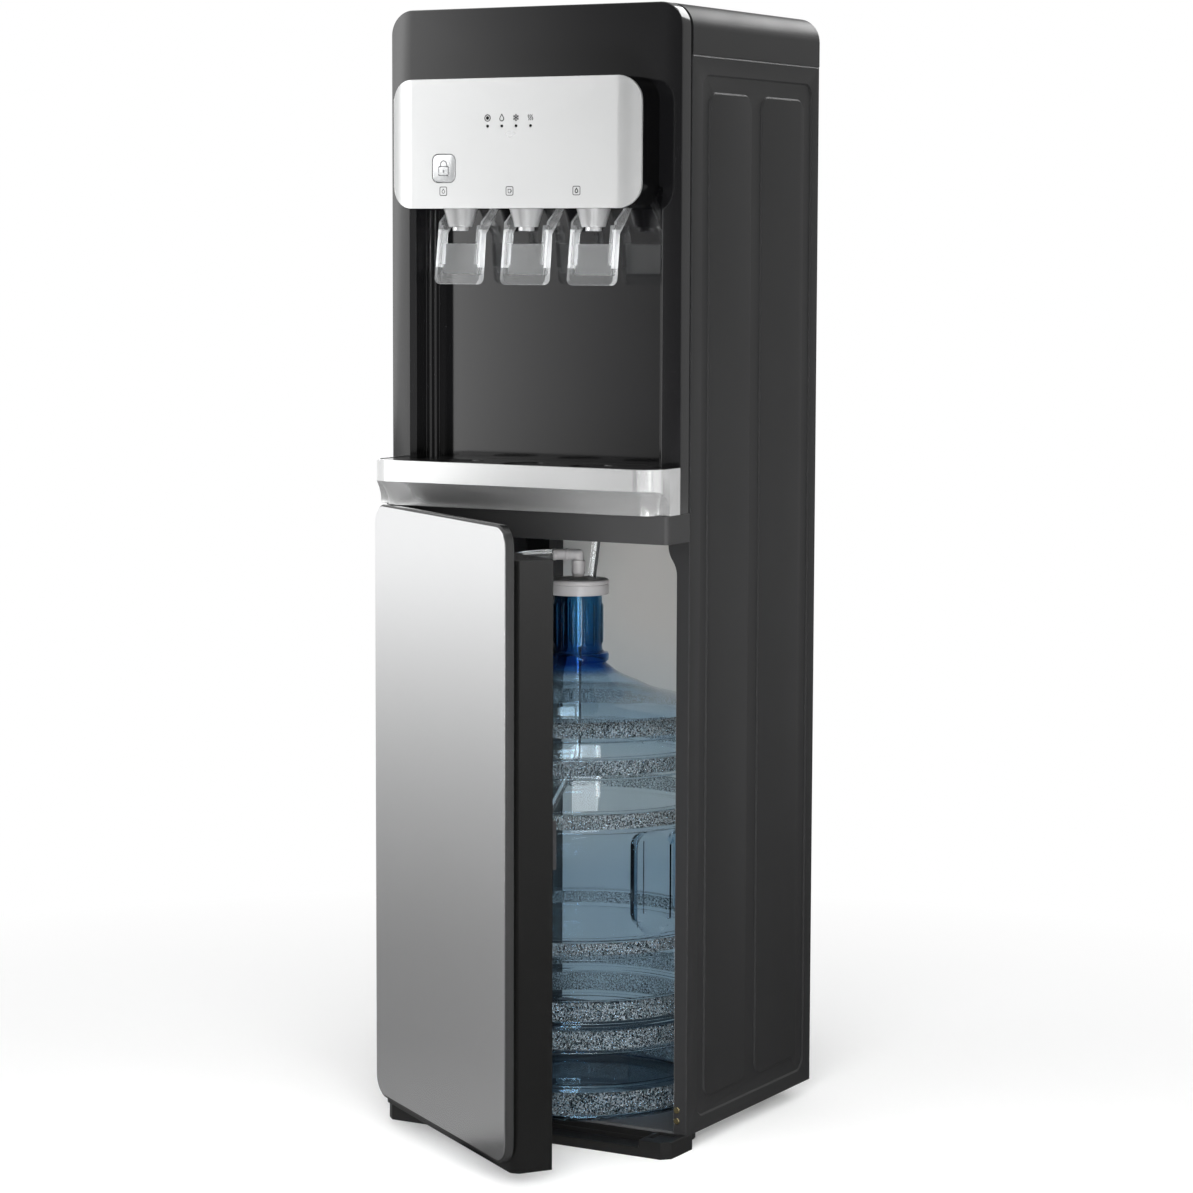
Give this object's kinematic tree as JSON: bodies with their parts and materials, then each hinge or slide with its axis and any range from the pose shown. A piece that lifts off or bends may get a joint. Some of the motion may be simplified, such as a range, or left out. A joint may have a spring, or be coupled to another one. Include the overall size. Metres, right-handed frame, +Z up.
{
  "type": "bottom load water cooler",
  "caption": "Tall floor-standing water cooler with a hinged lower door, a bottle inside, a lit control panel and lever taps over a drip tray.",
  "frame": {"origin": "on the floor, in the middle of the width, under the front edge of the side panels", "axes": "+X to the right seen from the front, +Y to the back, +Z up"},
  "size_m": [0.3173, 0.4809, 1.0568],
  "materials": {
    "panel_dark": "fine textured dark grey powder coat",
    "bezel_black": "high gloss black",
    "cover_dark": "satin dark grey",
    "niche_black": "gloss black",
    "silver_white": "pale silver white, satin gloss",
    "housing_dark": "dark satin",
    "lens_dark": "dark lens",
    "button_white": "pale, satin gloss",
    "collar_dark": "dark gloss",
    "clear_plastic": "clear",
    "grille_grey": "grey",
    "plinth_dark": "dark",
    "bay_grey": "warm grey, matt",
    "door_white": "pale silver white",
    "door_dark": "dark grey skirt",
    "bottle_blue": "clear blue",
    "cap_white": "off white",
    "hose_white": "translucent white",
    "rubber_black": "black",
    "steel": "bright steel",
    "zinc": "yellow zinc",
    "galvanised": "galvanised grey",
    "black_steel": "black enamel",
    "board_green": "green",
    "rocker_red": "red",
    "rocker_green": "green",
    "magnet": "ferrite in a black holder"
  },
  "bodies": {
    "cabinet": {"base_pan": "bay_grey", "base_plinth": "plinth_dark", "bottle": "bottle_blue", "cold_tank": "steel", "compartment_back": "bay_grey", "compressor": "black_steel", "compressor_mounts": "rubber_black", "condenser": "black_steel", "condenser_clips": "rubber_black", "control_board": "board_green", "control_fascia": "silver_white", "control_housing": "housing_dark", "cord_gland": "rubber_black", "corner_duct": "plinth_dark", "dip_tube": "hose_white", "door_pins": "steel", "drain_plug": "cap_white", "elbow_fitting": "cap_white", "feet": "rubber_black", "flange_screws": "zinc", "front_bezel": "bezel_black", "header_bar": "bay_grey", "hose_grommets": "rubber_black", "hot_tank": "steel", "indicator_lenses": "lens_dark", "lever_pins": "steel", "lever_rail": "niche_black", "mid_deck": "galvanised", "niche_liner": "niche_black", "probe_cap": "cap_white", "rear_panel": "galvanised", "side_panel_left": "panel_dark", "side_panel_right": "panel_dark", "suction_hose": "hose_white", "switch_housing": "plinth_dark", "tank_shelf": "galvanised", "tap_collar_left": "collar_dark", "tap_collar_middle": "collar_dark", "tap_collar_right": "collar_dark", "tap_valve_left": "cap_white", "tap_valve_middle": "cap_white", "tap_valve_right": "cap_white", "top_cover": "cover_dark", "tray_trim": "silver_white", "vent_hose": "hose_white", "water_pump": "black_steel"},
    "door": {"door_skin": "door_white", "door_frame": "door_white", "door_liner": "door_dark", "door_magnet": "magnet"},
    "paddle_left": {"lever_left": "clear_plastic"},
    "paddle_middle": {"lever_middle": "clear_plastic"},
    "paddle_right": {"lever_right": "clear_plastic"},
    "button": {"lock_button": "button_white"},
    "basin": {"drip_basin": "plinth_dark"},
    "grille": {"drip_grille": "grille_grey"},
    "heating_rocker": {"rocker_heating": "rocker_red"},
    "cooling_rocker": {"rocker_cooling": "rocker_green"}
  },
  "joints": [
    {"name": "door_swing", "type": "hinge", "parent": "cabinet", "child": "door", "pos_m": [-0.1365, -0.0242, 0.3], "axis": [0, 0, -1], "range_deg": [-34.35, 55]},
    {"name": "tap_left", "type": "hinge", "parent": "cabinet", "child": "paddle_left", "pos_m": [-0.071, -0.003, 0.879], "axis": [1, 0, 0], "range_deg": [0, 9], "stiffness_Nm_per_rad": 0.1, "springref_deg": -11.46},
    {"name": "tap_middle", "type": "hinge", "parent": "cabinet", "child": "paddle_middle", "pos_m": [0, -0.003, 0.879], "axis": [1, 0, 0], "range_deg": [0, 9], "stiffness_Nm_per_rad": 0.1, "springref_deg": -11.46},
    {"name": "tap_right", "type": "hinge", "parent": "cabinet", "child": "paddle_right", "pos_m": [0.071, -0.003, 0.879], "axis": [1, 0, 0], "range_deg": [0, 9], "stiffness_Nm_per_rad": 0.1, "springref_deg": -11.46},
    {"name": "lock_press", "type": "slide", "parent": "cabinet", "child": "button", "axis": [0, 1, 0], "range_m": [0, 0.002], "stiffness_N_per_m": 300, "springref_m": -0.0005},
    {"name": "basin_lift", "type": "slide", "parent": "cabinet", "child": "basin", "axis": [0, 0, 1], "range_m": [0, 0.09]},
    {"name": "grille_lift", "type": "slide", "parent": "basin", "child": "grille", "axis": [0, 0, 1], "range_m": [0, 0.04]},
    {"name": "heating_switch", "type": "hinge", "parent": "cabinet", "child": "heating_rocker", "pos_m": [-0.11, 0.258, 0.96], "axis": [1, 0, 0], "range_deg": [0, 18]},
    {"name": "cooling_switch", "type": "hinge", "parent": "cabinet", "child": "cooling_rocker", "pos_m": [-0.09, 0.258, 0.96], "axis": [1, 0, 0], "range_deg": [0, 18]}
  ]
}
